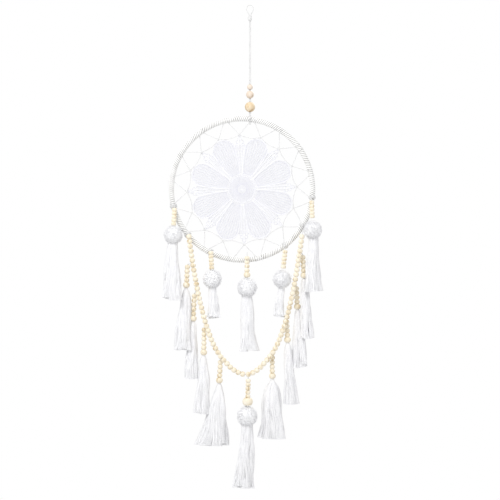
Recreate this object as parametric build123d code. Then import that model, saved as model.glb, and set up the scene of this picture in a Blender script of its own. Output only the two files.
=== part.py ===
from build123d import *
import math
import os

# Dream catcher, hung by a cord loop. Millimetres, +Z up, the front faces -Y.
# The origin is the top inside of the hanging loop, where a nail or hook bears.
os.makedirs("parts", exist_ok=True)

# Hoop: a wire ring under a cord wrap.
HOOP_X, HOOP_Z = -11.0, -250.0  # centre; the tie sits a little to the right of its top
HOOP_R = 96.0
WIRE_R = 2.4
WRAP_R = 4.0
TIE_YARN_R = 0.6
TIE_RING_R = WRAP_R + 0.05 + TIE_YARN_R

# Crocheted doily and the lacing that stretches it in the hoop.
DOILY_T = 1.6
PETALS = 8
PETAL_TURN = 25.0  # degrees from +X to the first petal
PETAL_R = 15.5
PETAL_CENTRE_R = 57.0
DOILY_CORE_R = 58.0
PICOT_R, PICOT_CENTRE_R = 7.2, 64.5  # a small point of crochet between each two petals
LACES = 16
LACE_TURN = 2.5
LACE_R = 0.7
LACE_TIP_R, LACE_HOOP_R = 75.0, 89.4
LACE_SPREAD = 9.0  # degrees from the tip of a V to each of its ends

# Hanging cord, doubled, with its loop, knot and three beads.
CORD_R = 0.7
CORD_GAP = 0.8  # half the distance between the two strands
KNOT_Z, KNOT_R, KNOT_H = -17.6, 2.5, 4.0
HANGER_BEADS = {"small": (3.9, 7.4, -111.0), "medium": (5.4, 10.4, -121.2)}
LARGE_BEAD_R, LARGE_BEAD_H, LARGE_BEAD_Z = 7.0, 13.4, -138.0
HANGER_BORE_R = 1.6
LARGE_BORE_R = 1.8

# Beaded strands hang just in front of the hoop.
FRONT_Y = -9.3
DROP_Y = -1.6  # the drops hang close behind the garland's beads,
DROP_Y_BACK = 1.6  # and the second on each side hangs behind its neighbours
BORE_R = 0.9
YARN_R = 0.6
BEAD_R, BEAD_H, BEAD_PITCH = 3.5, 4.7, 5.0
DROP_BEAD_R, DROP_BEAD_H, DROP_PITCH = 3.6, 5.8, 6.0
END_BEAD_R, END_BEAD_H = 4.6, 7.0

# Garland: beads threaded on one cord that hangs between two ties on the hoop.
GARLAND_X, GARLAND_Z = -6.25, -307.0
GARLAND_CORD_R = 0.6
GARLAND_BEAD_R, GARLAND_BEAD_H, GARLAND_PITCH = 3.7, 6.1, 6.5
GARLAND_HALF_COUNT = 33
GARLAND_MIDDLE_GAP = 7.7  # between the two middle beads, where the lowest drop is tied
GARLAND_NODES = 8
# Half of the route from near the lowest point to an end: x from the middle, height above the bottom.
GARLAND_HALF = [(17, 7.5), (39.5, 32.8), (52.8, 66.3), (61.9, 101.1), (68.8, 136.4),
                (74.3, 172.0), (77.5, 195.8)]
GARLAND_LOWEST_X = -4.7  # the lowest drop's weight pulls the chain to a point here

# Strands on the hoop: top x, first bead z, beads, pitch, lean to -X in degrees, end bead radius,
# pompom z and radius, tassel bottom z and radius.
HOOP_STRANDS = {
    "far_left": (-102.3, -278.0, 5, 4.75, 3, 0, -311.9, 12.3, -400.0, 9.0),
    "inner_left": (-53.0, -336.5, 5, 5.0, -3, 0, -371.9, 12.3, -425.0, 8.0),
    "centre": (-4.0, -343.5, 4, 5.5, 0, 4.6, -383.2, 13.0, -470.0, 10.0),
    "inner_right": (47.3, -335.0, 5, 5.1, 6, 0, -372.2, 12.0, -423.0, 6.5),
    "far_right": (83.5, -268.0, 5, 4.75, -2.5, 0, -305.3, 12.0, -389.0, 8.0),
}
# Where the yarn ties sit on the lower half of the hoop: garland ends, outer and inner strands.
TIE_XS = [-84.5, 71.6, -104.2, 84.4, -53.0, -4.0, 47.3]
# Drops on the garland: top x, y, first bead z, beads, lean to -X in degrees, tassel bottom z and
# radius.
DROPS = {
    "left_drop_1": (-85.0, DROP_Y, -355.5, 4, 3.5, -469.0, 7.0),
    "left_drop_2": (-75.8, DROP_Y_BACK, -395.0, 5, 2.4, -508.0, 7.0),
    "left_drop_3": (-62.2, DROP_Y, -441.0, 5, 1.2, -555.0, 8.0),
    "left_drop_4": (-40.1, DROP_Y, -485.0, 4, 3.5, -598.0, 10.0),
    "right_drop_1": (71.8, DROP_Y, -342.5, 4, -3.2, -454.0, 6.5),
    "right_drop_2": (63.3, DROP_Y_BACK, -385.0, 4, -2.4, -493.0, 6.8),
    "right_drop_3": (50.0, DROP_Y, -430.0, 4, -2.2, -543.0, 8.0),
    "right_drop_4": (30.3, DROP_Y, -473.0, 5, 0, -589.0, 10.0),
}
LOWEST_DROP = (-2.4, -509.5, 5, 5.2, 1.6, 7.0, -557.8, 13.4, -654.0, 12.0)
BARREL_H = 10.0


def save(shape, node):
    """Writes one node's STEP file."""
    export_step(shape, f"parts/{node}.step")


def bead(radius, height, bore):
    """A round wooden bead with flats at both ends and a bore along Z."""
    ball = Sphere(radius) & Cylinder(2 * radius, height)
    return ball - Cylinder(bore, 3 * radius)


def tube(points, radius):
    """A round cord along straight runs joined by tangent arcs; also returns the path."""
    vectors = [Vector(*p) for p in points]
    radii = []
    for before, here, after in zip(vectors, vectors[1:], vectors[2:]):
        turn = (here - before).get_angle(after - here)
        run = min((here - before).length, (after - here).length)
        radii.append(0.45 * run / math.tan(math.radians(turn / 2)))
    path = FilletPolyline(*vectors, radius=radii)
    section = Plane(origin=path @ 0, z_dir=path % 0) * Circle(radius)
    return sweep(section, path), path, radii


def report_cord(name, solid, path, radii, radius):
    """Prints a cord's length, its volume against section times length, and its radii."""
    expected = math.pi * radius**2 * path.length
    print(name, "length", round(path.length, 1), "volume ratio", round(solid.volume / expected, 4))
    print(name, "radii", [round(r, 1) for r in radii])


def tassel(top, yarn, skirt, length, radius):
    """One revolved tassel hanging from its own yarn: yarn, tied head, neck and flared skirt."""
    profile = [
        (0, top), (yarn, top), (yarn, -skirt), (2.2, -skirt - 0.8), (3.2, -skirt - 3.5),
        (2.7, -skirt - 7.0), (0.55 * radius + 1.2, -skirt - 0.28 * length),
        (0.8 * radius, -skirt - 0.6 * length), (radius, -skirt - length), (0, -skirt - length),
    ]
    face = make_face(Plane.XZ * Polyline(*profile, close=True))
    return revolve(face, Axis.Z)


def strand(name, x, first_z, count, pitch, lean, end_radius, pompom_z, pompom_r, bottom_z,
           tassel_r, size=(BEAD_R, BEAD_H), end_height=END_BEAD_H, y=FRONT_Y):
    """Beads, an end bead or a pompom where there is one, and a tassel, down one leaning line."""
    place = Pos(x, y, first_z) * Rot(0, lean, 0)
    beads = [Pos(0, 0, -i * pitch) * bead(*size, BORE_R) for i in range(count)]
    low = (count - 1) * pitch + size[1] / 2
    if end_radius:
        low += end_height / 2 + 0.15
        beads.append(Pos(0, 0, -low) * bead(end_radius, end_height, BORE_R))
        low += end_height / 2
    save(place * Compound(beads), f"{name}_beads")
    if pompom_r:
        low = first_z - pompom_z
        pompom = Sphere(pompom_r) - Cylinder(BORE_R, 3 * pompom_r)
        save(place * (Pos(0, 0, -low) * pompom), f"{name}_pompom")
        low += pompom_r
    skirt = low + 0.6
    save(place * tassel(3.5, YARN_R, skirt, first_z - bottom_z - skirt, tassel_r), f"{name}_tassel")


def on_hoop(x):
    """The height of the lower half of the hoop's centreline at x."""
    return HOOP_Z - math.sqrt(HOOP_R**2 - (x - HOOP_X) ** 2)


def ring_round_hoop(angle, ring_r, yarn_r):
    """A yarn ring round the wrap at an angle from +X, square to the hoop's centreline."""
    radial = Vector(math.cos(angle), 0, math.sin(angle))
    along = Vector(-math.sin(angle), 0, math.cos(angle))
    centre = Vector(HOOP_X, 0, HOOP_Z) + radial * HOOP_R
    return Plane(origin=centre, x_dir=radial, z_dir=along) * Torus(ring_r, yarn_r)


# Hanging cord: up one strand, round the loop and down the other, ending inside the large bead.
cord_route = [
    (CORD_GAP, 0, -137), (CORD_GAP, 0, -12.5), (4.2, 0, -7.2), (4.9, 0, -2.9), (2.3, 0, 0.7),
    (-2.3, 0, 0.7), (-4.9, 0, -2.9), (-4.2, 0, -7.2), (-CORD_GAP, 0, -12.5),
    (-CORD_GAP, 0, -137),
]
hanging_cord, cord_path, cord_radii = tube(cord_route, CORD_R)
report_cord("hanging_cord", hanging_cord, cord_path, cord_radii, CORD_R)
save(hanging_cord, "hanging_cord")

# The knot that closes the loop, with a hole for each strand.
knot = Sphere(KNOT_R + 0.6) & Cylinder(KNOT_R, KNOT_H)
for side in (-CORD_GAP, CORD_GAP):
    knot -= Pos(side, 0, 0) * Cylinder(CORD_R + 0.04, 2 * KNOT_H)
save(Pos(0, 0, KNOT_Z) * knot, "loop_knot")

# Three beads above the hoop; the large one turns with the tie below it.
for size_name, (radius, height, z) in HANGER_BEADS.items():
    save(Pos(0, 0, z) * bead(radius, height, HANGER_BORE_R), f"hanger_bead_{size_name}")
large_bead = bead(LARGE_BEAD_R, LARGE_BEAD_H, LARGE_BORE_R)
save(Pos(0, 0, LARGE_BEAD_Z) * large_bead, "hanger_bead_large")

# Hoop tie: two turns round the wrapped hoop and a stem up into the large bead.
tie_angle = math.acos(-HOOP_X / HOOP_R)
tie_z = HOOP_Z + HOOP_R * math.sin(tie_angle)
turn_r, turn_yarn = WRAP_R + 1.2, 0.8
hoop_tie = Pos(0, 0, (tie_z + turn_r + LARGE_BEAD_Z - 1) / 2) * Cylinder(
    1.4, LARGE_BEAD_Z - 1 - tie_z - turn_r
)
for side in (-0.9, 0.9):
    hoop_tie += ring_round_hoop(tie_angle + side / HOOP_R, turn_r, turn_yarn)
save(hoop_tie, "hoop_tie")

# Hoop: the wire ring inside a hollow wrap.
hoop_frame = Pos(HOOP_X, 0, HOOP_Z) * Rot(90, 0, 0)
save(hoop_frame * Torus(HOOP_R, WIRE_R), "hoop_ring")
save(hoop_frame * (Torus(HOOP_R, WRAP_R) - Torus(HOOP_R, WIRE_R + 0.05)), "hoop_wrap")

# Doily: a flat crocheted disc whose edge is a ring of round petals with a point between each two.
doily_face = Circle(DOILY_CORE_R)
for i in range(PETALS):
    for turn, reach, radius in [(0, PETAL_CENTRE_R, PETAL_R), (0.5, PICOT_CENTRE_R, PICOT_R)]:
        a = math.radians(PETAL_TURN + (i + turn) * 360 / PETALS)
        doily_face += Pos(reach * math.cos(a), -reach * math.sin(a)) * Circle(radius)
doily = Pos(HOOP_X, 0, HOOP_Z) * Rot(-90, 0, 0) * extrude(doily_face, DOILY_T / 2, both=True)
save(doily, "doily")
print("doily area", round(doily_face.area))

# Lacing: a V of yarn from the hoop to each petal's and each point's tip and back.
lacing = []
for i in range(LACES):
    a = math.radians(LACE_TURN + i * 360 / LACES)
    spread = math.radians(LACE_SPREAD)
    ends = [(LACE_HOOP_R, a - spread), (LACE_TIP_R, a), (LACE_HOOP_R, a + spread)]
    points = [(HOOP_X + r * math.cos(t), 0, HOOP_Z + r * math.sin(t)) for r, t in ends]
    path = FilletPolyline(*points, radius=1.6)
    lacing.append(sweep(Plane(origin=path @ 0, z_dir=path % 0) * Circle(LACE_R), path))
save(Compound(lacing), "web_lacing")

# Yarn ties that hold the five strands and the garland's two ends to the hoop.
ties = []
for x in TIE_XS:
    below = math.acos((x - HOOP_X) / HOOP_R)
    ties.append(ring_round_hoop(-below, TIE_RING_R, TIE_YARN_R))
    print("tie at x", x, "z", round(on_hoop(x), 1))
save(Compound(ties), "strand_ties")

for name, spec in HOOP_STRANDS.items():
    strand(f"{name}_strand", *spec)

# Garland cord, then the beads spaced evenly along it.
bottom = GARLAND_Z - GARLAND_HALF[-1][1]
left = [(GARLAND_X - x, FRONT_Y, bottom + z) for x, z in reversed(GARLAND_HALF)]
right = [(GARLAND_X + x, FRONT_Y, bottom + z) for x, z in GARLAND_HALF]
lowest = [(GARLAND_LOWEST_X, FRONT_Y, bottom)]
garland_cord, garland_path, garland_radii = tube(left + lowest + right, GARLAND_CORD_R)
report_cord("garland_cord", garland_cord, garland_path, garland_radii, GARLAND_CORD_R)
save(garland_cord, "garland_cord")
garland_bead = bead(GARLAND_BEAD_R, GARLAND_BEAD_H, BORE_R)
from_middle = [GARLAND_MIDDLE_GAP / 2 + i * GARLAND_PITCH for i in range(GARLAND_HALF_COUNT)]
garland_beads = []
for run in [-d for d in reversed(from_middle)] + from_middle:
    share = 0.5 + run / garland_path.length
    garland_beads.append(Plane(origin=garland_path @ share, z_dir=garland_path % share) * garland_bead)
count = len(garland_beads)
for n in range(GARLAND_NODES):
    first, last = round(n * count / GARLAND_NODES), round((n + 1) * count / GARLAND_NODES)
    save(Compound(garland_beads[first:last]), f"garland_beads_{n + 1}")

for name, (x, y, first_z, beads, lean, bottom_z, radius) in DROPS.items():
    strand(name, x, first_z, beads, DROP_PITCH, lean, END_BEAD_R, 0, 0, bottom_z, radius,
           size=(DROP_BEAD_R, DROP_BEAD_H), y=y)
strand("lowest_drop", *LOWEST_DROP, end_height=BARREL_H)
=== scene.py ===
import bpy
import bmesh
import math
import random
from mathutils import Matrix, Vector


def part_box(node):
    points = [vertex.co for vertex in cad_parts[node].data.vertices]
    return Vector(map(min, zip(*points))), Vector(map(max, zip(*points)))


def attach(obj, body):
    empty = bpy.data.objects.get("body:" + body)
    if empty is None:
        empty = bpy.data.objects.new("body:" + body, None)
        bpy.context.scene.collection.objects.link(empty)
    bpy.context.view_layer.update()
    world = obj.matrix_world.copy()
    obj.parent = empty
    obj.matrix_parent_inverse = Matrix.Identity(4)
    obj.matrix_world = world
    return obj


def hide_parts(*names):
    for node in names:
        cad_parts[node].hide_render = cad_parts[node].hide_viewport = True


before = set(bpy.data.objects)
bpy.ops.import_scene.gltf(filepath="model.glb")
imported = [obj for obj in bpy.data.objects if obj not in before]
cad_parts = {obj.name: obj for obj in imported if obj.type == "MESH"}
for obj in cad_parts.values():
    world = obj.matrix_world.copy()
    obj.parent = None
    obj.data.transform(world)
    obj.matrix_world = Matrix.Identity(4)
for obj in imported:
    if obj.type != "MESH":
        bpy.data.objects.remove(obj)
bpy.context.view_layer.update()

# Camera, floor and light. The dream catcher hangs in the air, seen square from the front.
# The floor lies below the view, and the white surroundings light it softly all round.
VIEW_WIDTH = 0.680
VIEW_MIDDLE_Z = -0.3325
CAMERA_Y = -2.2
SENSOR = 36.0
camera_data = bpy.data.cameras.new("camera")
camera_data.sensor_width = SENSOR
camera_data.lens = SENSOR * -CAMERA_Y / VIEW_WIDTH
camera = bpy.data.objects.new("camera", camera_data)
camera.location = (0, CAMERA_Y, VIEW_MIDDLE_Z)
LEVEL = math.radians(90)
camera.rotation_euler = (LEVEL, 0, 0)
bpy.context.scene.collection.objects.link(camera)
bpy.context.scene.camera = camera
bpy.context.scene.view_settings.view_transform = "Standard"


def srgb(colour):
    """An sRGB hex colour such as #F7F6F3 as linear red, green, blue and alpha."""
    parts = [int(colour[i:i + 2], 16) / 255 for i in (1, 3, 5)]
    return [p / 12.92 if p <= 0.04045 else ((p + 0.055) / 1.055) ** 2.4 for p in parts] + [1.0]


def add(tree, kind, values=None, links=None, **settings):
    """Adds a node to a tree, with its settings, its sockets' values and its links."""
    node = tree.nodes.new(kind)
    for name, value in settings.items():
        setattr(node, name, value)
    for socket, value in (values or {}).items():
        node.inputs[socket].default_value = value
    for socket, source in (links or {}).items():
        tree.links.new(source, node.inputs[socket])
    return node


def new_material(name):
    """An empty node material; returns it with its tree."""
    material = bpy.data.materials.new(name)
    material.use_nodes = True
    material.node_tree.nodes.clear()
    return material, material.node_tree


# Plain matt floor paint, pale and even, with the faint unevenness of a rolled coat.
floor_paint, tree = new_material("matt floor paint")
where = add(tree, "ShaderNodeTexCoord")
cloud = add(tree, "ShaderNodeTexNoise", {"Scale": 6.0}, {"Vector": where.outputs["Object"]})
tone = add(tree, "ShaderNodeMapRange", {"To Min": 0.78, "To Max": 0.82},
           {"Value": cloud.outputs[0]})
paint = add(tree, "ShaderNodeBsdfPrincipled", {"Roughness": 0.8},
            {"Base Color": tone.outputs[0]})
add(tree, "ShaderNodeOutputMaterial", {}, {"Surface": paint.outputs[0]})

FLOOR_Z, FLOOR_R, FLOOR_SIDES = -0.95, 1.6, 96
floor_shape = bmesh.new()
bmesh.ops.create_circle(floor_shape, cap_ends=True, segments=FLOOR_SIDES, radius=FLOOR_R,
                        matrix=Matrix.Translation((0, 0, FLOOR_Z)))
floor_mesh = bpy.data.meshes.new("floor")
floor_shape.to_mesh(floor_mesh)
floor_shape.free()
floor = bpy.data.objects.new("floor", floor_mesh)
floor.data.materials.append(floor_paint)
bpy.context.scene.collection.objects.link(floor)

# The white surroundings: even and soft as light, and plain white where the camera sees them.
world = bpy.data.worlds.new("studio")
world.use_nodes = True
bpy.context.scene.world = world
tree = world.node_tree
tree.nodes.clear()
seen = add(tree, "ShaderNodeLightPath")
soft = add(tree, "ShaderNodeBackground", {"Color": srgb("#FFFFFF"), "Strength": 0.86})
plain = add(tree, "ShaderNodeBackground", {"Color": srgb("#FFFFFF"), "Strength": 1.0})
sky = add(tree, "ShaderNodeMixShader", {}, {0: seen.outputs["Is Camera Ray"],
                                            1: soft.outputs[0], 2: plain.outputs[0]})
add(tree, "ShaderNodeOutputWorld", {}, {"Surface": sky.outputs[0]})

# Two lamps: the key, high on the left in front, and a weak one behind. Each line: its name, its
# place, its width and its power.
for name, place, size, power in [("key", (-0.50, -1.25, 0.85), 0.5, 15.0),
                                 ("back", (0.7, 1.6, 0.5), 0.8, 9.0)]:
    lamp = bpy.data.lights.new(name, "AREA")
    lamp.size = size
    lamp.energy = power
    holder = bpy.data.objects.new(name, lamp)
    holder.location = place
    aim = Vector((0, 0, VIEW_MIDDLE_Z)) - Vector(place)
    holder.rotation_euler = aim.to_track_quat("-Z", "Y").to_euler()
    bpy.context.scene.collection.objects.link(holder)


# Hanging cord: one white twisted cord, doubled. It runs up out of the large bead, round the nail
# loop and down again, pulled straight by the weight. Two plies are laid up right-handed.
CORD_D = 0.0014
CORD_LAY = 0.0042
CORD_STEP = 0.0004
PLY_OFFSET, PLY_R = 0.21, 0.31  # of the cord's thickness
ROUTE_DETAIL = 24
cord_route = [
    (0.0008, 0, -0.137), (0.0008, 0, -0.0195), (0.0008, 0, -0.0125), (0.0042, 0, -0.0072),
    (0.0049, 0, -0.0029), (0.0023, 0, 0.0007), (-0.0023, 0, 0.0007), (-0.0049, 0, -0.0029),
    (-0.0042, 0, -0.0072), (-0.0008, 0, -0.0125), (-0.0008, 0, -0.0195), (-0.0008, 0, -0.137),
]


def spaced(points, step):
    """Points evenly spaced along a line of points, about step apart."""
    lengths = [0.0]
    for before, after in zip(points, points[1:]):
        lengths.append(lengths[-1] + (after - before).length)
    count = max(2, round(lengths[-1] / step) + 1)
    out, at = [], 0
    for i in range(count):
        want = lengths[-1] * i / (count - 1)
        while at < len(points) - 2 and lengths[at + 1] < want:
            at += 1
        share = (want - lengths[at]) / max(lengths[at + 1] - lengths[at], 1e-12)
        out.append(points[at].lerp(points[at + 1], min(max(share, 0.0), 1.0)))
    return out


def smooth_route(route, name):
    """The points of a NURBS spline with the route as its control points."""
    curve = bpy.data.curves.new(name, "CURVE")
    curve.dimensions = "3D"
    curve.resolution_u = ROUTE_DETAIL
    spline = curve.splines.new("NURBS")
    spline.points.add(len(route) - 1)
    for point, place in zip(spline.points, route):
        point.co = (*place, 1)
    spline.order_u = 3
    spline.use_endpoint_u = True
    guide = bpy.data.objects.new(name, curve)
    line = bpy.data.meshes.new_from_object(guide)
    points = [v.co.copy() for v in line.vertices]
    bpy.data.meshes.remove(line)
    bpy.data.objects.remove(guide)
    bpy.data.curves.remove(curve)
    return points


def plies(points, offset, lay, count):
    """Lines of plies twisted round a line of evenly spaced points, one turn every lay."""
    across = Vector((0, 1, 0))
    lines = [[] for _ in range(count)]
    run = 0.0
    for i, here in enumerate(points):
        along = (points[min(i + 1, len(points) - 1)] - points[max(i - 1, 0)]).normalized()
        side = across.cross(along).normalized()
        up = along.cross(side)
        if i:
            run += (here - points[i - 1]).length
        for k, line in enumerate(lines):
            turn = 2 * math.pi * (run / lay + k / count)
            line.append(here + (side * math.cos(turn) + up * math.sin(turn)) * offset)
    return lines


def yarn(name, lines, radius, material, rings=1, closed=False):
    """One mesh piece of yarn: a round thread along each line. A point may carry its own radius."""
    curve = bpy.data.curves.new(name, "CURVE")
    curve.dimensions = "3D"
    curve.bevel_depth = radius
    curve.bevel_resolution = rings
    curve.use_fill_caps = True
    for line in lines:
        spline = curve.splines.new("POLY")
        spline.points.add(len(line) - 1)
        for point, place in zip(spline.points, line):
            point.co = (place[0], place[1], place[2], 1)
            point.radius = place[3] if len(place) > 3 else 1.0
        spline.use_cyclic_u = closed
    thread = bpy.data.objects.new(name + "_line", curve)
    mesh = bpy.data.meshes.new_from_object(thread)
    bpy.data.objects.remove(thread)
    bpy.data.curves.remove(curve)
    mesh.name = name
    mesh.materials.clear()
    mesh.materials.append(material)
    mesh.polygons.foreach_set("use_smooth", [True] * len(mesh.polygons))
    piece = bpy.data.objects.new(name, mesh)
    bpy.context.scene.collection.objects.link(piece)
    return piece


def yarn_material(name, light, shade, twists, depth, fuzz_mm=0.25, sheen=0.35):
    """Spun yarn: twisted stripes that follow each thread, their grooves painted darker as shade and
    bumped, with an uneven tone and a soft fuzzy sheen. twists is the number of turns along one
    thread, depth the groove in metres and fuzz_mm the size of the fuzz."""
    material, tree = new_material(name)
    where = add(tree, "ShaderNodeTexCoord")
    parts = add(tree, "ShaderNodeSeparateXYZ", {}, {0: where.outputs["UV"]})
    turned = add(tree, "ShaderNodeMath", {1: twists}, {0: parts.outputs["Y"]},
                 operation="MULTIPLY")
    angle = add(tree, "ShaderNodeMath", {}, {0: turned.outputs[0], 1: parts.outputs["X"]},
                operation="ADD")
    spin = add(tree, "ShaderNodeMath", {1: 2 * math.pi * 2}, {0: angle.outputs[0]},
               operation="MULTIPLY")
    # Painted shade: the stripe darkens the colour along the twist's grooves, and also bumps them.
    stripe = add(tree, "ShaderNodeMath", {}, {0: spin.outputs[0]}, operation="SINE")
    fuzz = add(tree, "ShaderNodeTexNoise", {"Scale": 1000 / fuzz_mm / 4, "Detail": 3.0},
               {"Vector": where.outputs["Object"]})
    patch = add(tree, "ShaderNodeTexNoise", {"Scale": 90.0}, {"Vector": where.outputs["Object"]})
    both = add(tree, "ShaderNodeMath", {1: 0.25}, {0: stripe.outputs[0], 2: fuzz.outputs[0]},
               operation="MULTIPLY_ADD")
    blend = add(tree, "ShaderNodeMapRange", {"From Min": 0.1, "From Max": 0.75},
                {"Value": both.outputs[0]})
    tone = add(tree, "ShaderNodeMath", {1: 0.6}, {0: patch.outputs[0], 2: blend.outputs[0]},
               operation="MULTIPLY_ADD")
    ramp = add(tree, "ShaderNodeValToRGB", {}, {0: tone.outputs[0]})
    ramp.color_ramp.elements[0].position = 0.25
    ramp.color_ramp.elements[0].color = srgb(shade)
    ramp.color_ramp.elements[1].position = 0.9
    ramp.color_ramp.elements[1].color = srgb(light)
    bump = add(tree, "ShaderNodeBump", {"Strength": 0.7, "Distance": depth},
               {"Height": both.outputs[0]})
    cloth = add(tree, "ShaderNodeBsdfPrincipled",
                {"Roughness": 0.92, "Sheen Weight": sheen, "Sheen Roughness": 0.5,
                 "Specular IOR Level": 0.2},
                {"Base Color": ramp.outputs[0], "Normal": bump.outputs[0]})
    add(tree, "ShaderNodeOutputMaterial", {}, {"Surface": cloth.outputs[0]})
    return material


# Mercerised cotton cord: white, smooth, with its lay painted on as fine slanted lines of shade. The
# knots, the ties and the cord of the garland are cut from the same cord or from its plies.
cord_cotton = yarn_material("twisted cotton cord", "#E8E8E8", "#BEBEBF", 190, 0.0001)
cord_line = spaced(smooth_route(cord_route, "hanging_cord_route"), CORD_STEP)
hanging_cord = yarn("hanging_cord_twist", plies(cord_line, CORD_D * PLY_OFFSET, CORD_LAY, 2),
                    CORD_D * PLY_R, cord_cotton)
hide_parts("hanging_cord")
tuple(cord_route[0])
[tuple(p) for p in cord_line]
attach(hanging_cord, "hanger")


# Loop knot: the cord's own end wound round both strands and pulled tight, so it reads as a
# small barrel of close turns with a lump on top.
KNOT_YARN_R = 0.0007
KNOT_R, KNOT_TURNS, KNOT_PITCH = 0.0019, 4.5, 0.0012
LUMP_R, LUMP_TURNS, LUMP_PITCH = 0.0022, 1.4, 0.002


def coil(centre, axis, radius, turns, pitch, per_turn=14):
    """A helix of points round an axis, centred on a place."""
    axis = Vector(axis).normalized()
    side = axis.cross(Vector((0, 1, 0)))
    side = side.normalized() if side.length > 0.1 else Vector((1, 0, 0))
    up = axis.cross(side)
    points = []
    for i in range(int(turns * per_turn) + 1):
        turn = i / per_turn
        angle = 2 * math.pi * turn
        reach = side * math.cos(angle) + up * math.sin(angle)
        height = (turn - turns / 2) * pitch
        points.append(Vector(centre) + reach * radius + axis * height)
    return points


knot_low, knot_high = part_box("loop_knot")
knot_middle = (knot_low + knot_high) / 2
knot_winding = coil(knot_middle, (0, 0, 1), KNOT_R, KNOT_TURNS, KNOT_PITCH)
knot_lump = coil(knot_middle, (0.6, 0, 1), LUMP_R, LUMP_TURNS, LUMP_PITCH)
loop_knot = yarn("loop_knot_winding", [knot_winding, knot_lump], KNOT_YARN_R, cord_cotton)
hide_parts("loop_knot")
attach(loop_knot, "hanger")


# Wooden beads: turned from pale hardwood such as schima or birch, sanded, unvarnished. Each is
# bored along the grain, so fine streaks run from hole to hole, and no two match in tone.
def bare_wood(name, light, middle, dark, grain_mm):
    """Bare turned wood: growth streaks, an uneven tone from bead to bead, and a dry, soft gloss.
    The wood runs from light to dark, and grain_mm is the size of its streaks."""
    material, tree = new_material(name)
    where = add(tree, "ShaderNodeTexCoord")
    stretch = add(tree, "ShaderNodeMapping", {"Scale": (1.0, 1.0, 0.22)},
                  {"Vector": where.outputs["Object"]})
    grain = add(tree, "ShaderNodeTexNoise",
                {"Scale": 1000 / grain_mm / 2, "Detail": 5.0, "Distortion": 0.6},
                {"Vector": stretch.outputs[0]})
    each = add(tree, "ShaderNodeTexVoronoi", {"Scale": 150.0},
               {"Vector": where.outputs["Object"]})
    tone = add(tree, "ShaderNodeMath", {1: 0.35}, {0: each.outputs["Color"], 2: grain.outputs[0]},
               operation="MULTIPLY_ADD")
    ramp = add(tree, "ShaderNodeValToRGB", {}, {0: tone.outputs[0]})
    ramp.color_ramp.elements[0].position = 0.38
    ramp.color_ramp.elements[0].color = srgb(dark)
    ramp.color_ramp.elements[1].position = 0.92
    ramp.color_ramp.elements[1].color = srgb(light)
    ramp.color_ramp.elements.new(0.6).color = srgb(middle)
    bump = add(tree, "ShaderNodeBump", {"Strength": 0.35, "Distance": 0.0001},
               {"Height": grain.outputs[0]})
    wood = add(tree, "ShaderNodeBsdfPrincipled", {"Roughness": 0.48, "Specular IOR Level": 0.4},
               {"Base Color": ramp.outputs[0], "Normal": bump.outputs[0]})
    add(tree, "ShaderNodeOutputMaterial", {}, {"Surface": wood.outputs[0]})
    return material


def repaint(node, material):
    """Gives a CAD node, which is shown as it is, one material."""
    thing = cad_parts[node]
    thing.data.materials.clear()
    thing.data.materials.append(material)


pale_wood = bare_wood("pale bare wood", "#F5EEDF", "#ECE1C9", "#CBB48D", 1.2)
warm_wood = bare_wood("warm bare wood", "#ECDCC4", "#DDC6A2", "#B4946C", 1.6)
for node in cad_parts:
    if node.endswith("_beads") or node.startswith("garland_beads"):
        repaint(node, pale_wood)
pinkish_wood = bare_wood("faintly pink bare wood", "#EEE2D6", "#E0D0BF", "#B9A086", 1.2)
repaint("hanger_bead_small", pinkish_wood)
repaint("hanger_bead_medium", pinkish_wood)
repaint("hanger_bead_large", warm_wood)


# Hoop: a wire ring wound tight with thick soft cord, three strands side by side, so that the
# turns slant across the front and their ridges and grooves go all the way round.
wrap_low, wrap_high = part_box("hoop_wrap")
HOOP = (wrap_low + wrap_high) / 2
WRAP_R = (wrap_high.y - wrap_low.y) / 2
HOOP_R = (wrap_high.x - wrap_low.x) / 2 - WRAP_R
WRAP_STRANDS, WRAP_TURNS, TURN_POINTS = 3, 76, 18
WRAP_YARN_R = 0.00125
WOBBLE_FINE, WOBBLE_LONG = 0.00010, 0.00008
# Depths of the painted groove shade: full at the first, fading out by the second.
GROOVE_FLOOR, GROOVE_TOP = 0.0008, 0.0003  # below the outside of the wrap


def on_hoop(angle, tube_angle=0.0, tube_r=0.0):
    """A point by its angle round the hoop from +X, and its place round the tube from outwards."""
    radial = Vector((math.cos(angle), 0, math.sin(angle)))
    reach = HOOP_R + tube_r * math.cos(tube_angle)
    return HOOP + radial * reach + Vector((0, -tube_r * math.sin(tube_angle), 0))


wrap_lines = []
for k in range(WRAP_STRANDS):
    line = []
    total = WRAP_TURNS * TURN_POINTS
    for i in range(total):
        round_hoop = 2 * math.pi * i / total
        round_tube = 2 * math.pi * (WRAP_TURNS * i / total + k / WRAP_STRANDS)
        wobble = (WOBBLE_FINE * math.sin(37 * round_hoop + k)
                  + WOBBLE_LONG * math.sin(11 * round_hoop))
        line.append(on_hoop(round_hoop, round_tube, WRAP_R - WRAP_YARN_R + wobble))
    wrap_lines.append(line)

# Soft white wrapping cord: fuzzy on its ridges, with shade painted dark into the grooves between
# the turns, found by how far a place is from the middle of the tube.
wrap_cotton, tree = new_material("soft wrapping cord with painted groove shade")
where = add(tree, "ShaderNodeTexCoord")
from_middle = add(tree, "ShaderNodeVectorMath", {1: HOOP}, {0: where.outputs["Object"]},
                  operation="SUBTRACT")
flat = add(tree, "ShaderNodeVectorMath", {1: (1, 0, 1)}, {0: from_middle.outputs[0]},
           operation="MULTIPLY")
reach = add(tree, "ShaderNodeVectorMath", {}, {0: flat.outputs[0]}, operation="LENGTH")
outward = add(tree, "ShaderNodeMath", {1: HOOP_R}, {0: reach.outputs["Value"]},
              operation="SUBTRACT")
across = add(tree, "ShaderNodeSeparateXYZ", {}, {0: from_middle.outputs[0]})
pair = add(tree, "ShaderNodeCombineXYZ", {}, {0: outward.outputs[0], 1: across.outputs["Y"]})
depth = add(tree, "ShaderNodeVectorMath", {}, {0: pair.outputs[0]}, operation="LENGTH")
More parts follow.
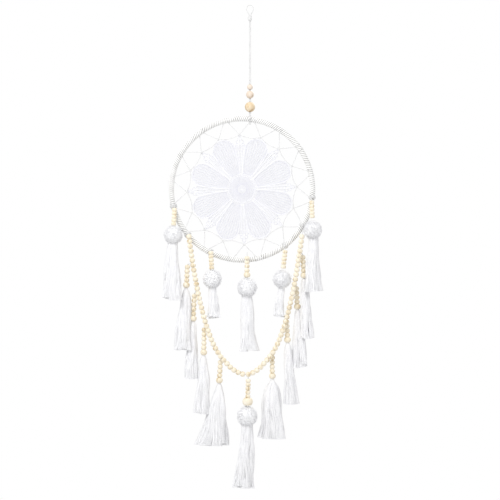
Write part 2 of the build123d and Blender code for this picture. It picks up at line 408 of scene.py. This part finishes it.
groove = add(tree, "ShaderNodeMapRange",
             {"From Min": WRAP_R - GROOVE_FLOOR, "From Max": WRAP_R - GROOVE_TOP},
             {"Value": depth.outputs["Value"]})
fibre = add(tree, "ShaderNodeTexNoise", {"Scale": 1400.0, "Detail": 4.0},
            {"Vector": where.outputs["Object"]})
tone = add(tree, "ShaderNodeMath", {1: 0.25}, {0: fibre.outputs[0], 2: groove.outputs[0]},
           operation="MULTIPLY_ADD")
# Painted shade: the ramp runs from the dark grey of the grooves' shade to the cord's white, varied
# a little by the fibre noise.
ramp = add(tree, "ShaderNodeValToRGB", {}, {0: tone.outputs[0]})
ramp.color_ramp.elements[0].position = 0.05
ramp.color_ramp.elements[0].color = srgb("#9C9A97")
ramp.color_ramp.elements[1].position = 0.95
ramp.color_ramp.elements[1].color = srgb("#F6F6F5")
bump = add(tree, "ShaderNodeBump", {"Strength": 0.6, "Distance": 0.0002},
           {"Height": fibre.outputs[0]})
cloth = add(tree, "ShaderNodeBsdfPrincipled",
            {"Roughness": 0.9, "Sheen Weight": 0.3, "Specular IOR Level": 0.2},
            {"Base Color": ramp.outputs[0], "Normal": bump.outputs[0]})
add(tree, "ShaderNodeOutputMaterial", {}, {"Surface": cloth.outputs[0]})
hoop_wrap = yarn("hoop_wrap_winding", wrap_lines, WRAP_YARN_R, wrap_cotton, rings=2, closed=True)
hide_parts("hoop_wrap")
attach(hoop_wrap, "hoop")

# The wire inside: drawn mild steel, grey and a little uneven. It shows only at a loose turn.
wire_steel, tree = new_material("drawn mild steel")
where = add(tree, "ShaderNodeTexCoord")
lines = add(tree, "ShaderNodeTexNoise", {"Scale": 700.0}, {"Vector": where.outputs["Object"]})
rough = add(tree, "ShaderNodeMapRange", {"To Min": 0.3, "To Max": 0.5},
            {"Value": lines.outputs[0]})
metal = add(tree, "ShaderNodeBsdfPrincipled", {"Base Color": srgb("#A9AAAC"), "Metallic": 1.0},
            {"Roughness": rough.outputs[0]})
add(tree, "ShaderNodeOutputMaterial", {}, {"Surface": metal.outputs[0]})
repaint("hoop_ring", wire_steel)


# Hoop tie: the hanging cord comes out under the large bead, crosses over the hoop in a lark's
# head and is knotted inside it.
TIE_R = 0.0007
TIE_APART = 0.0009  # from the middle to each turn over the hoop
TIE_SIDES = 22
tie_angle = math.acos(-HOOP.x / HOOP_R)
tie_top = on_hoop(tie_angle)
bead_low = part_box("hanger_bead_large")[0].z
tie_ring = WRAP_R + 0.0009
tie_lines = []
for side in (-1, 1):
    shift = Vector((side * TIE_APART, 0, 0))
    ring = [tie_top + shift + Vector((0, -math.sin(t), math.cos(t))) * tie_ring
            for t in [2 * math.pi * i / TIE_SIDES for i in range(TIE_SIDES + 1)]]
    tie_lines.append(ring)
    tie_lines.append([Vector((side * 0.0007, 0, bead_low + 0.004)),
                      Vector((side * 0.0008, 0, bead_low - 0.002)),
                      tie_top + shift + Vector((0, 0, tie_ring))])
below = tie_top + Vector((0, -0.0012, -tie_ring - 0.0006))
tie_lines.append(coil(below, (1, 0, 0.3), 0.0013, 2.4, 0.0009))
tie_lines.append(coil(tie_top + Vector((0, -tie_ring, 0.001)), (0, 0, 1), 0.0012, 1.3, 0.001))
hoop_tie = yarn("hoop_tie_cord", tie_lines, TIE_R, cord_cotton)
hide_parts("hoop_tie")
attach(hoop_tie, "hoop_hanger")


# Doily: fine white cotton crocheted in rounds from the middle: a close round middle, eight ribs
# of long posts, and between the ribs eight petals of close rows, each edged with a raised chain.
# A small point of loops stands between each two petals, where the lacing catches it.
PETALS = 8
PETAL_TURN = math.radians(25.0)
PETAL_STEP = 2 * math.pi / PETALS
PETAL_EDGE_R = 0.0158
PETAL_CENTRE_R = 0.0562
PETAL_ROOT_R = 0.0205
PETAL_ROOT_HALF = 0.0058
MIDDLE_R = 0.0178
POINT_R = 0.0735
DOILY_YARN_R = 0.00040
STITCH, STITCH_STEP = 0.0016, 0.0009
WEAVE, SWELL = 0.00014, 0.25  # how far a line weaves in and out, and how much it swells
ROUNDS, FIRST_ROUND_R, ROUND_STEP, LAST_ROUND_R = 12, 0.0016, 0.00135, 0.0196
SPOKES, SPOKE_IN_R, SPOKE_OUT_R = 48, 0.006, 0.0200
EDGE_INSET, EDGE_LIFT = 0.0016, -0.0004
ROW_STEP, ROW_BOW = 0.0018, 0.10
RIB_HALF, RIB_LIFT, SIDE_RIB_HALF = 0.0016, -0.0003, 0.0040
BRIDGES, FIRST_BRIDGE, BRIDGE_STEP = 19, 0.0230, 0.0020


def on_doily(radius, angle, lift=0.0):
    """A point of the doily by its distance from the middle and its angle from +X."""
    return HOOP + Vector((radius * math.cos(angle), lift, radius * math.sin(angle)))


def on_petal(middle, out, across, lift=0.0):
    """A point of the doily by its distance out along a petal's middle line and across it."""
    out_way = Vector((math.cos(middle), 0, math.sin(middle)))
    return HOOP + out_way * out + Vector((-out_way.z, 0, out_way.x)) * across + Vector((0, lift, 0))


def petal_half(out):
    """Half the width of a petal at a distance out."""
    if out > PETAL_CENTRE_R:
        return math.sqrt(max(PETAL_EDGE_R ** 2 - (out - PETAL_CENTRE_R) ** 2, 0.0))
    share = max(out - PETAL_ROOT_R, 0.0) / (PETAL_CENTRE_R - PETAL_ROOT_R)
    return PETAL_ROOT_HALF + (PETAL_EDGE_R - PETAL_ROOT_HALF) * share ** 0.72


def stitched(points, weight=1.0):
    """A line as uneven as crochet: it swells with each stitch, and weaves in and out."""
    out = []
    for i, p in enumerate(spaced(points, STITCH_STEP)):
        beat = 2 * math.pi * i * STITCH_STEP / STITCH
        out.append((p.x, p.y + WEAVE * math.sin(beat), p.z, weight + SWELL * math.cos(beat)))
    return out


def ring(radius, weight=1.0):
    """A full round of stitches."""
    return stitched([on_doily(radius, math.radians(4 * i)) for i in range(91)], weight)


doily_lines = [ring(FIRST_ROUND_R + ROUND_STEP * i) for i in range(ROUNDS)]
doily_lines.append(ring(LAST_ROUND_R))
raised_lines = [ring(MIDDLE_R, 1.5)]
for i in range(SPOKES):
    a = math.radians(360 / SPOKES * i)
    doily_lines.append(stitched([on_doily(SPOKE_IN_R, a), on_doily(SPOKE_OUT_R, a)]))
for i in range(PETALS):
    middle = PETAL_TURN + i * PETAL_STEP
    # The petal's outline twice: the raised chain, and just inside it the edge of the rows.
    for inset, weight, lift in [(0.0, 1.9, EDGE_LIFT), (EDGE_INSET, 1.0, 0.0)]:
        edge = [on_petal(middle, o, -petal_half(o) + inset, lift)
                for o in [PETAL_ROOT_R + (PETAL_CENTRE_R - PETAL_ROOT_R) * k / 12
                          for k in range(13)]]
        edge += [on_petal(middle, PETAL_CENTRE_R + (PETAL_EDGE_R - inset) * math.sin(t),
                          -(PETAL_EDGE_R - inset) * math.cos(t), lift)
                 for t in [math.pi * k / 18 for k in range(1, 18)]]
        edge += [on_petal(middle, o, petal_half(o) - inset, lift)
                 for o in [PETAL_CENTRE_R - (PETAL_CENTRE_R - PETAL_ROOT_R) * k / 12
                           for k in range(13)]]
        (raised_lines if lift else doily_lines).append(stitched(edge, weight))
    # Its rows across, a little bowed, and its columns of stitches from root to tip.
    out = PETAL_ROOT_R + 0.0010
    while out < PETAL_CENTRE_R + PETAL_EDGE_R - 0.0030:
        half = petal_half(out + 0.0006) - 0.0012
        bow = ROW_BOW * half
        doily_lines.append(stitched([on_petal(middle, out + bow * (1 - (k / 3 - 1) ** 2),
                                              half * (k / 3 - 1)) for k in range(7)]))
        out += ROW_STEP
    for k in range(-4, 5):
        across = k / 4.6
        foot = PETAL_CENTRE_R + PETAL_EDGE_R * math.sqrt(1 - across ** 2) - 0.0014
        doily_lines.append(stitched([
            on_petal(middle, o, across * petal_half(min(o, PETAL_CENTRE_R)))
            for o in (PETAL_ROOT_R, 0.034, 0.046, foot)]))
    # The rib beside it: two raised posts, a shorter chain on each side, bridges across to the
    # petals, and a point of small loops at its end.
    rib = middle + PETAL_STEP / 2
    for across in (-RIB_HALF, RIB_HALF):
        raised_lines.append(stitched([on_petal(rib, 0.0190, across, RIB_LIFT),
                                      on_petal(rib, 0.0600, across * 1.3, RIB_LIFT),
                                      on_petal(rib, POINT_R - 0.0040, across * 0.4)], 1.7))
    for across in (-SIDE_RIB_HALF, SIDE_RIB_HALF):
        raised_lines.append(stitched([on_petal(rib, 0.0360, across * 0.8),
                                      on_petal(rib, 0.0590, across * 1.5)], 1.0))
    for k in range(BRIDGES):
        out = FIRST_BRIDGE + BRIDGE_STEP * k
        gap = out * math.tan(PETAL_STEP / 2) - petal_half(out) / math.cos(PETAL_STEP / 2)
        reach = gap * 0.95
        doily_lines.append(stitched([on_petal(rib, out + 0.0010, -reach), on_petal(rib, out, 0),
                                     on_petal(rib, out + 0.0010, reach)], 0.9))
    for out, across, radius in [(0.0600, 0.0036, 0.0026), (0.0600, -0.0036, 0.0026),
                                (0.0648, 0.0030, 0.0022), (0.0648, -0.0030, 0.0022),
                                (0.0690, 0.0, 0.0026), (POINT_R, 0.0, 0.0015)]:
        doily_lines.append(stitched([on_petal(rib, out + radius * math.cos(t),
                                              across + radius * math.sin(t))
                                     for t in [2 * math.pi * j / 10 for j in range(11)]]))

# Fine crochet cotton: white with a cool cast. The raised chain is a copy of the same cotton painted
# a little brighter than the rows, as light falling on the raised stitches.
doily_cotton = yarn_material("fine crochet cotton", "#F2F2F8", "#D9D9E4", 60, 0.0002)
lit_chain_cotton = yarn_material("raised chain cotton painted lighter", "#F9F9FC", "#E2E2EA", 60, 0.0002)
doily = yarn("doily_crochet", doily_lines, DOILY_YARN_R, doily_cotton, rings=0)
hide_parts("doily")
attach(doily, "hoop")
edging = yarn("doily_raised_chain", raised_lines, DOILY_YARN_R, lit_chain_cotton)
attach(edging, "hoop")


# Lacing: the same cotton, doubled and twisted. It loops round the hoop, runs in to a knot on the
# doily's edge and back out, and a slack chain swings from knot to knot along the edge.
LACES = 16
LACE_TURN = math.radians(2.5)
LACE_TIP_R = 0.0750
LACE_SPREAD = math.radians(9.0)
LACE_PLY_R = 0.00042
LACE_PLY_OFFSET, LACE_LAY, LACE_STEP = LACE_PLY_R * 0.9, 0.0030, 0.0005
LACE_SAG = 0.0042
lace_lines = []
for i in range(LACES):
    middle = LACE_TURN + i * 2 * math.pi / LACES
    for side in (-1, 1):
        foot = middle + side * LACE_SPREAD
        leg = spaced([on_doily(LACE_TIP_R, middle), on_doily(HOOP_R - WRAP_R + 0.0003, foot)],
                     LACE_STEP)
        lace_lines += plies(leg, LACE_PLY_OFFSET, LACE_LAY, 2)
        lace_lines.append([on_hoop(foot, math.pi * (0.9 - 1.8 * j / 12), WRAP_R + 0.0002)
                           for j in range(13)])
    tip = on_doily(LACE_TIP_R - 0.0004, middle)
    lace_lines.append(coil(tip, (math.cos(middle), 0, math.sin(middle)), 0.0010, 2.6, 0.0010, 10))
    sag = [on_doily(LACE_TIP_R - LACE_SAG * (1 - (k / 6 - 1) ** 2),
                    middle + 2 * math.pi / LACES * k / 12, -0.0008) for k in range(13)]
    lace_lines += plies(spaced(sag, LACE_STEP), LACE_PLY_OFFSET, LACE_LAY, 2)
lace_cotton = yarn_material("doubled lacing cotton", "#F6F6F6", "#CFCFD2", 8, 0.0001)
web_lacing = yarn("web_lacing_twist", lace_lines, LACE_PLY_R, lace_cotton, rings=0)
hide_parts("web_lacing")
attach(web_lacing, "hoop")


# Strand ties: three close turns of yarn round the hoop where each strand and each end of the
# garland is fixed, with a small knot at the front.
STRAND_TIE_R, TIE_TURNS, TIE_PITCH = 0.0006, 3, 0.0011
# The ties of the garland's two ends, of the two far strands and of the three between them.
TIE_X = (-0.0845, 0.0716, -0.1042, 0.0844, -0.0530, -0.0040, 0.0473)
tie_yarn_lines = []
for x in TIE_X:
    angle = -math.acos((x - HOOP.x) / HOOP_R)
    along = Vector((-math.sin(angle), 0, math.cos(angle)))
    tie_yarn_lines.append(coil(on_hoop(angle), along, WRAP_R + 0.0005, TIE_TURNS, TIE_PITCH, 18))
    front = on_hoop(angle) + Vector((0, -WRAP_R - 0.0011, -0.0006))
    tie_yarn_lines.append(coil(front, (1, 0, 0.4), 0.0008, 1.6, 0.0009, 10))
strand_ties = yarn("strand_ties_yarn", tie_yarn_lines, STRAND_TIE_R, cord_cotton)
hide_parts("strand_ties")
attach(strand_ties, "hoop")
repaint("garland_cord", cord_cotton)


# Pompoms: white yarn wound thick, tied in the middle, cut and trimmed to a ball. Thousands of
# cut ends stand out from the middle, and the surface is soft, round and slightly lumpy.
POMPOM_YARNS = 1900
POMPOM_YARN_R = 0.00042
POMPOM_CORE, POMPOM_ROOT, POMPOM_BEND = 0.93, 0.84, 0.92  # of its radius
POMPOM_FRAY = 0.05
POMPOM_LUMP = 0.02
pompom_yarn = yarn_material("cut pompom yarn", "#FAFAFB", "#E6E6EA", 3, 0.0001, 0.4, 0.4)


def pompom(node, body, seed):
    """A trimmed yarn ball in the place of a CAD pompom."""
    dice = random.Random(seed)
    low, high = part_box(node)
    centre, radius = (low + high) / 2, (high.y - low.y) / 2
    core = bmesh.new()
    bmesh.ops.create_icosphere(core, subdivisions=4, radius=radius * POMPOM_CORE,
                               matrix=Matrix.Translation(centre))
    lines = []
    for i in range(POMPOM_YARNS):
        height = 1 - 2 * (i + 0.5) / POMPOM_YARNS
        turn = i * math.pi * (3 - math.sqrt(5))
        flat = math.sqrt(1 - height * height)
        out = Vector((flat * math.cos(turn), flat * math.sin(turn), height))
        out = (out + Vector([dice.gauss(0, POMPOM_FRAY) for _ in range(3)])).normalized()
        bend = Vector([dice.gauss(0, POMPOM_FRAY) for _ in range(3)]) * radius
        lump = 1 + POMPOM_LUMP * math.sin(5 * out.x + seed) * math.cos(4 * out.z + seed)
        end = radius * lump * dice.uniform(0.97, 1.03)
        lines.append([centre + out * radius * POMPOM_ROOT,
                      centre + out * (radius * POMPOM_BEND) + bend * 0.4,
                      (*(centre + out * end + bend), 0.75)])
    ball = yarn(node + "_yarn", lines, POMPOM_YARN_R, pompom_yarn, rings=0)
    inner = bpy.data.meshes.new(node + "_core")
    core.to_mesh(inner)
    core.free()
    inner.materials.append(pompom_yarn)
    inner.polygons.foreach_set("use_smooth", [True] * len(inner.polygons))
    middle = bpy.data.objects.new(node + "_core", inner)
    bpy.context.scene.collection.objects.link(middle)
    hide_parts(node)
    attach(ball, body)
    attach(middle, body)


# Tassels: a hank of straight white yarn folded over its own hanging yarn, bound below the fold
# and cut level. The yarn gathers into a few soft folds and spreads towards the cut ends.
TASSEL_FOLDS = 7
TASSEL_POINTS = 16
TASSEL_YARN_R = 0.00055
TASSEL_NECK = 0.0070
NECK_HALF, FOLD_TOP_HALF = 0.0012, 0.0028
FOLD_REACH, FOLD_OUT, FOLD_CORE = 0.60, 0.39, 0.385  # of half the tassel's width
FOLD_SWAY = 0.12
CUT_SPREAD = 0.0018
FLICK, FLICK_FROM = 0.10, 0.82
tassel_cotton = yarn_material("straight tassel yarn", "#FAFAFB", "#E3E3E8", 30, 0.00015, 0.4,
                              0.3)


def axis_of(node):
    """Two points on the axis of a turned CAD node, the upper first."""
    places = [v.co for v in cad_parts[node].data.vertices]
    low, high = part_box(node)
    middle = (low.z + high.z) / 2
    upper = [p for p in places if p.z > middle]
    lower = [p for p in places if p.z <= middle]
    return sum(upper, Vector()) / len(upper), sum(lower, Vector()) / len(lower)


def tassel(name, body, above, seed, half, sweep, shoulder):
    """A yarn tassel in the place of a CAD one, hanging from the node above it.
    half is half its width at the foot, sweep how far its foot swings to +X, and a smaller
    shoulder makes it wide sooner below the neck."""
    dice = random.Random(seed)
    node = name + "_tassel"
    low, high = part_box(node)
    upper, lower = axis_of(name + "_beads")
    down = (lower - upper).normalized()
    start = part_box(above)[0].z
    tied = above.endswith("_beads")
    length = (start - low.z) / -down.z
    top = upper + down * ((start - upper.z) / down.z)
    side = Vector((0, 1, 0)).cross(down).normalized()

    def width(share):
        """Half the tassel's width at a share of its length, with a slight flick at the foot."""
        run = length * share
        flick = 1 + FLICK * max(0.0, (share - FLICK_FROM) / (1 - FLICK_FROM)) ** 2
        if not tied:
            return half * (0.46 + 0.48 * share ** 0.9) * flick
        if run < TASSEL_NECK:
            return NECK_HALF + 0.0026 * math.sin(2.5 * run / TASSEL_NECK)
        past = (run - TASSEL_NECK) / (length - TASSEL_NECK)
        return FOLD_TOP_HALF + (0.92 * half - FOLD_TOP_HALF) * past ** shoulder * flick

    lines = []
    for fold in range(TASSEL_FOLDS + 1):
        around = 2 * math.pi * (fold + dice.uniform(-0.25, 0.25)) / TASSEL_FOLDS
        reach = FOLD_REACH if fold < TASSEL_FOLDS else 0.0
        wave, waves = dice.uniform(0, 2 * math.pi), dice.uniform(0.8, 1.5)
        twist = dice.uniform(-0.25, 0.25)
        cut = length - abs(dice.gauss(0, CUT_SPREAD))

        def fold_point(share, angle, out, cut=cut, around=around, reach=reach, wave=wave,
                       waves=waves, twist=twist):
            """A point of this fold at a share of its length, out from its middle at an angle."""
            wide = width(share)
            turn = around + twist * share
            sway = FOLD_SWAY * wide * math.sin(2 * math.pi * waves * share + wave)
            x = wide * (reach * math.cos(turn) + out * math.cos(angle)) + sway
            y = wide * (reach * math.sin(turn) + out * math.sin(angle))
            start_up = 0.0 if tied else 0.003 * (1 - share)
            return (top + down * (cut * share - start_up) + side * x + Vector((0, y, 0))
                    + Vector((sweep * share ** 1.5, 0, 0)))

        shares = [k / (TASSEL_POINTS - 1) for k in range(TASSEL_POINTS)]
        lines.append([(*fold_point(0.985 * s, 0, 0), FOLD_CORE * width(s) / TASSEL_YARN_R)
                      for s in shares])
        count = max(14, int(2.64 * half / 0.00135))
        for k in range(count if reach else 0):
            angle = around + math.radians(-130 + 260 * (k + dice.uniform(-0.3, 0.3)) / count)
            out = FOLD_OUT * dice.uniform(0.93, 1.06)
            ripple = dice.uniform(0, 2 * math.pi)
            line = []
            for s in shares:
                stray = dice.gauss(0, 0.00012) + 0.0002 * math.sin(14 * s + ripple)
                line.append(fold_point(s, angle, out) + side * stray)
            lines.append(line)
    if tied:
        lines.append(coil(top + down * TASSEL_NECK, down, 0.0031, 3.4, 0.0010, 12))
    hank = yarn(node + "_yarn", lines, TASSEL_YARN_R, tassel_cotton, rings=0)
    depth = min(1.0, (high.y - low.y) / 2 / half)
    hank.data.transform(Matrix.Translation((0, top.y, 0)) @ Matrix.Diagonal((1, depth, 1, 1))
                        @ Matrix.Translation((0, -top.y, 0)))
    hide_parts(node)
    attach(hank, body)


# Strands on the hoop and drops on the garland. Each hangs by the yarn of its tassel, which
# comes up through the pompom and the beads to the hoop or to the garland's cord.
STEM_STEP, STEM_RISE = 0.0006, 0.0025
STEM_PLY_OFFSET, STEM_PLY_R, STEM_LAY = 0.0003, 0.00040, 0.0024
# Each line: the strand, half its tassel's width at the foot, how far the foot swings to +X, and
# how soon below the neck it is wide.
for seed, (name, half, sweep, shoulder) in enumerate([
        ("far_left_strand", 0.0140, 0.0030, 1.0), ("inner_left_strand", 0.0090, 0.0, 1.0),
        ("centre_strand", 0.0130, 0.0020, 1.0), ("inner_right_strand", 0.0075, 0.0, 1.0),
        ("far_right_strand", 0.0125, -0.0035, 1.0), ("lowest_drop", 0.0150, -0.0015, 1.0),
        ("left_drop_1", 0.0130, 0.0, 0.45), ("left_drop_2", 0.0095, 0.0, 0.5),
        ("left_drop_3", 0.0120, 0.0, 0.5), ("left_drop_4", 0.0225, -0.0040, 0.7),
        ("right_drop_1", 0.0095, 0.0, 0.5), ("right_drop_2", 0.0115, 0.0, 0.5),
        ("right_drop_3", 0.0100, 0.0020, 0.5), ("right_drop_4", 0.0190, -0.0010, 0.38)]):
    beads = name + "_beads"
    above = beads
    if name + "_pompom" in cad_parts:
        above = name + "_pompom"
        pompom(above, name, seed)
    tassel(name, name, above, seed + 40, half, sweep, shoulder)
    first, last = axis_of(beads)
    down = (last - first).normalized()
    high_end = first + down * ((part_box(beads)[1].z - 0.002 - first.z) / down.z)
    # Where the yarn is held: behind and above on the hoop, or on the garland's cord.
    if name.endswith("_strand"):
        hold = high_end + Vector((0, 0.0035, 0.0075))
    elif name == "lowest_drop":
        hold = high_end + Vector((0, 0, 0.0065))
    else:
        aim = high_end + Vector((0, 0, 0.0055))
        hold = min((v.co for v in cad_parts["garland_cord"].data.vertices),
                   key=lambda place: (place - aim).length).copy()
        hold.y = (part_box("garland_cord")[0].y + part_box("garland_cord")[1].y) / 2
    stem = spaced([high_end, high_end + Vector((0, 0, STEM_RISE)), hold], STEM_STEP)
    stem_lines = plies(stem, STEM_PLY_OFFSET, STEM_LAY, 2)
    if not name.endswith("_strand"):
        stem_lines.append(coil(hold, (1, 0, 0), 0.0011, 3.4, 0.0009, 12))
    hanging_yarn = yarn(name + "_yarn", stem_lines, STEM_PLY_R, cord_cotton)
    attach(hanging_yarn, name)
